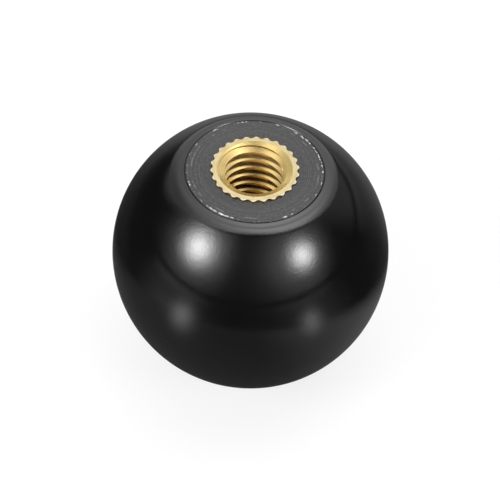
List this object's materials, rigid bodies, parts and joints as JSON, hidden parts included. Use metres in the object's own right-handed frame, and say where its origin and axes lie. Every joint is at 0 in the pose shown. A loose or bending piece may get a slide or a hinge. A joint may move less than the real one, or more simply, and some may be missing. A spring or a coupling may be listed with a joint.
{
  "type": "ball knob",
  "caption": "Round black moulded ball knob with a flat land and a knurled brass insert, screwed on the threaded end of a lever as its hand grip.",
  "frame": {"origin": "centre of the insert's seating face, on the thread's axis", "axes": "+Z along the thread's axis, out of its mouth; the knob is round about it"},
  "size_m": [0.032, 0.032, 0.0299],
  "materials": {
    "phenolic_resin": "polished, satin on the land",
    "turned_brass": "as turned"
  },
  "bodies": {
    "root": {"ball": "phenolic_resin", "threaded_insert": "turned_brass"}
  },
  "joints": []
}
